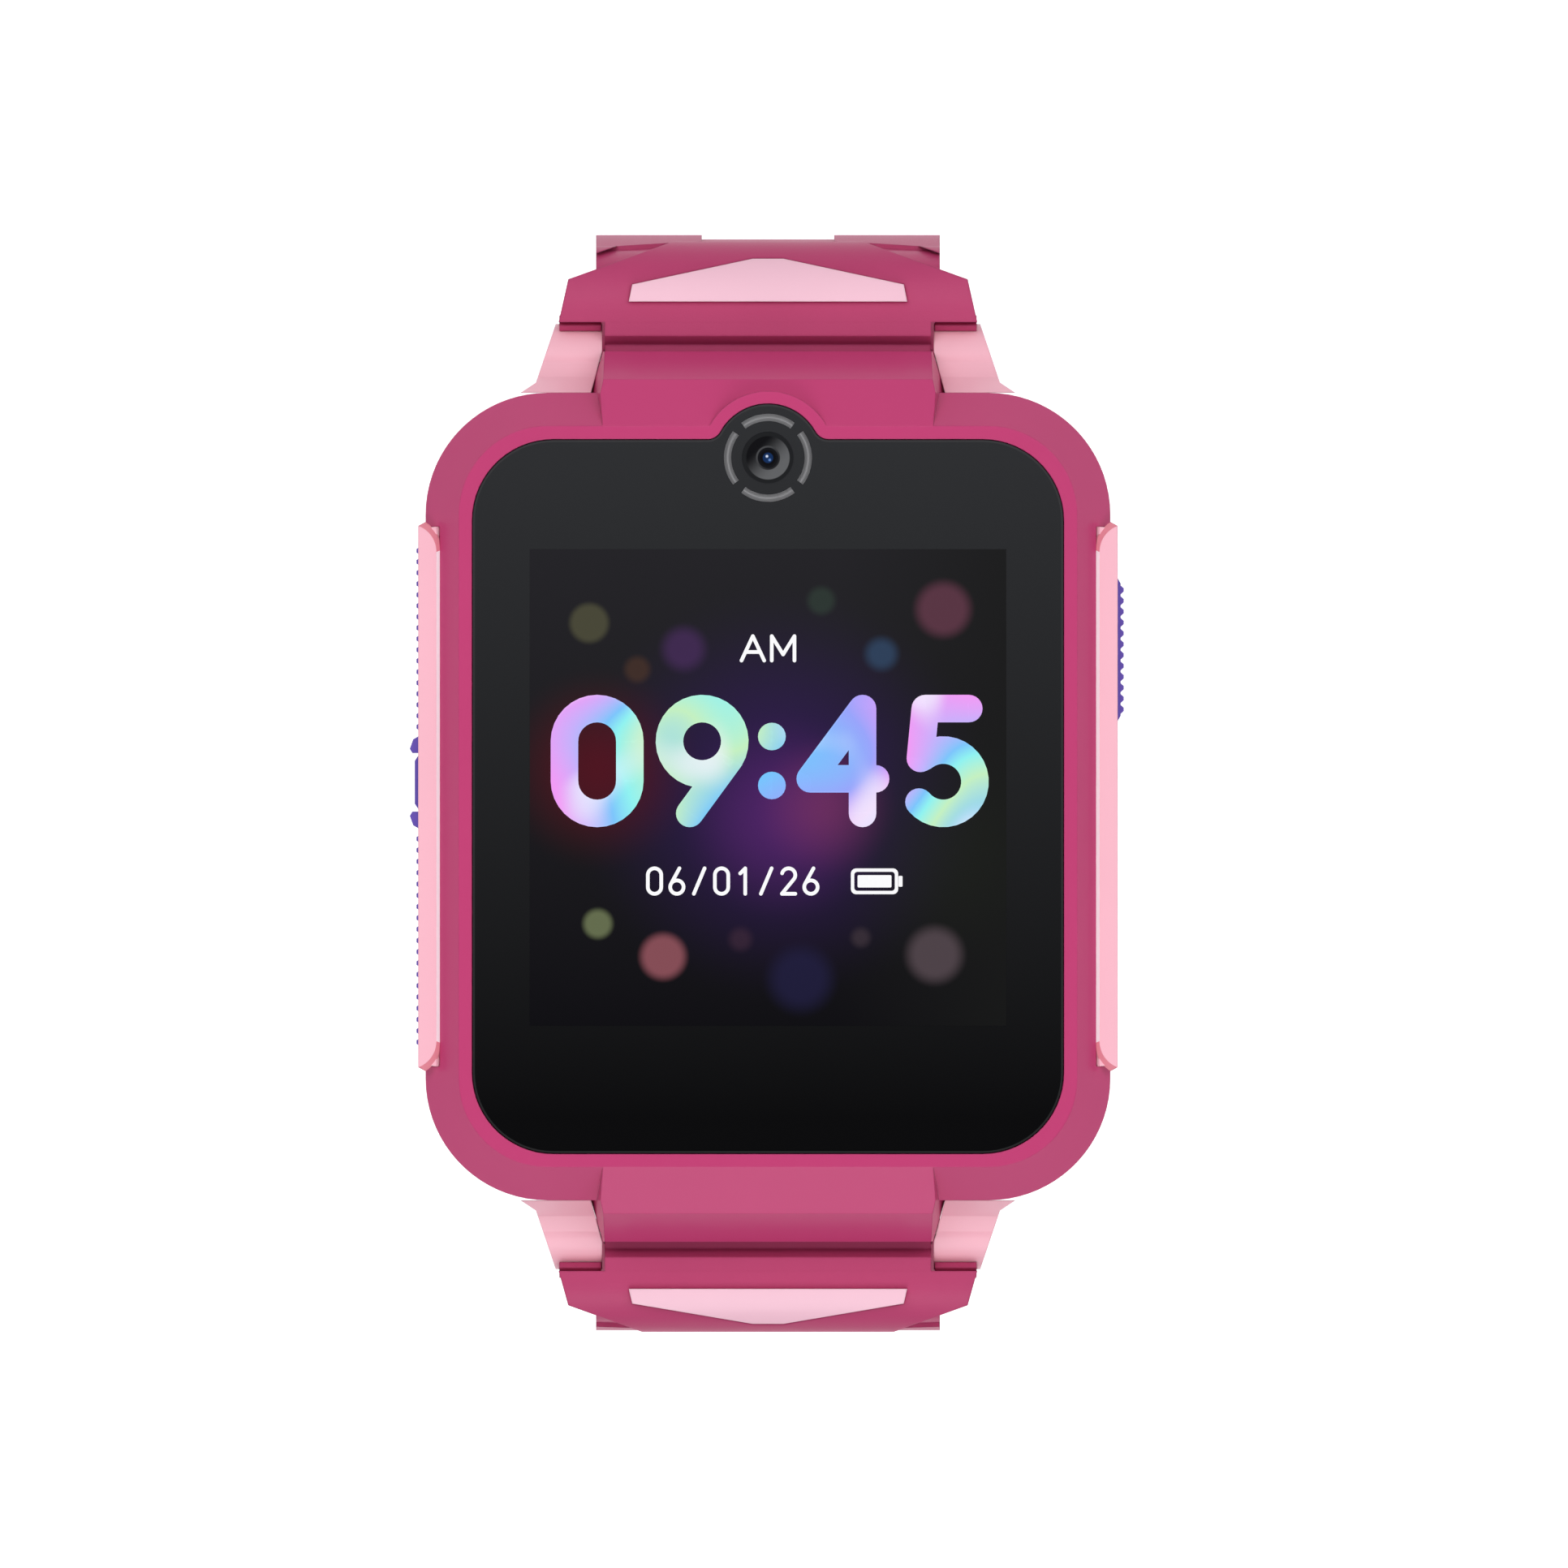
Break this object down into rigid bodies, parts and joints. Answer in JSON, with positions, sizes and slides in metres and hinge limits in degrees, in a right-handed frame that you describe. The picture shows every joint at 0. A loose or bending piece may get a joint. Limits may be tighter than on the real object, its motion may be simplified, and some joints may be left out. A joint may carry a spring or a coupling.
{
  "type": "child smart watch",
  "caption": "Child's smart watch worn as a toy phone: square-cornered touch display with camera, side buttons, and a two-piece buckle strap that swings on its lugs",
  "frame": {"origin": "centre of the rear cover's flat outer face, which rests on the wrist", "axes": "+Z out of the display, +Y toward twelve o'clock and the camera, +X toward three o'clock and the home button"},
  "size_m": [0.0415, 0.0639, 0.0554],
  "materials": {
    "magenta_shell": "pearl gloss",
    "pink_shell": "gloss",
    "pink_rail": "gloss",
    "purple_trim": "satin",
    "strap_silicone": "matte",
    "inlay_pink": "pearl gloss",
    "cover_glass": "polished",
    "display": "emissive picture area",
    "sheet_steel": "satin",
    "black_plastic": "satin",
    "lens_glass": "coated",
    "board_green": "solder resist",
    "battery_foil": "satin",
    "buckle_steel": "polished",
    "gold_contact": "plated",
    "seal_rubber": "matte"
  },
  "bodies": {
    "case": {"front_housing": "magenta_shell", "lug_frame": "pink_shell", "side_rail_left": "pink_rail", "side_rail_right": "pink_rail", "grip_trim_upper": "purple_trim", "grip_trim_lower": "purple_trim", "cover_glass": "cover_glass", "display_panel": "display", "display_tray": "sheet_steel", "camera_module": "black_plastic", "camera_lens": "lens_glass", "main_board": "board_green", "switch_home": "sheet_steel", "switch_side": "sheet_steel", "microphone": "sheet_steel", "battery_pack": "battery_foil", "speaker": "black_plastic", "vibration_motor": "sheet_steel", "rear_cover": "pink_shell", "cover_screws": "buckle_steel", "charge_contacts": "gold_contact", "cover_gasket": "seal_rubber", "spring_bar_upper": "buckle_steel", "spring_bar_lower": "buckle_steel"},
    "home_key": {"home_button": "purple_trim"},
    "side_key": {"side_button": "purple_trim"},
    "strap_top": {"strap_upper": "strap_silicone", "strap_inlay_upper": "inlay_pink", "buckle_bar": "buckle_steel", "strap_keeper_fixed": "strap_silicone"},
    "strap_bottom": {"strap_lower": "strap_silicone", "strap_inlay_lower": "inlay_pink"},
    "buckle": {"buckle_frame": "buckle_steel"},
    "tongue": {"buckle_tongue": "buckle_steel"},
    "keeper": {"strap_keeper_free": "strap_silicone"}
  },
  "joints": [
    {"name": "strap_top_pivot", "type": "hinge", "parent": "case", "child": "strap_top", "pos_m": [0, 0.0253, 0.0056], "axis": [1, 0, 0], "range_deg": [-12, 15]},
    {"name": "strap_bottom_pivot", "type": "hinge", "parent": "case", "child": "strap_bottom", "pos_m": [0, -0.0253, 0.0056], "axis": [-1, 0, 0], "range_deg": [-12, 15]},
    {"name": "buckle_pivot", "type": "hinge", "parent": "strap_top", "child": "buckle", "pos_m": [0, 0.01446, -0.03386], "axis": [1, 0, 0], "range_deg": [-60, 45]},
    {"name": "tongue_pivot", "type": "hinge", "parent": "buckle", "child": "tongue", "pos_m": [0, 0.01446, -0.03386], "axis": [1, 0, 0], "range_deg": [0, 70]},
    {"name": "keeper_slide", "type": "slide", "parent": "strap_top", "child": "keeper", "axis": [0, -0.5635, -0.8261], "range_m": [-0.002, 0.002]},
    {"name": "home_press", "type": "slide", "parent": "case", "child": "home_key", "axis": [-1, 0, 0], "range_m": [0, 0.00035], "stiffness_N_per_m": 600, "springref_m": -0.0005},
    {"name": "side_press", "type": "slide", "parent": "case", "child": "side_key", "axis": [1, 0, 0], "range_m": [0, 0.00035], "stiffness_N_per_m": 600, "springref_m": -0.0005}
  ]
}
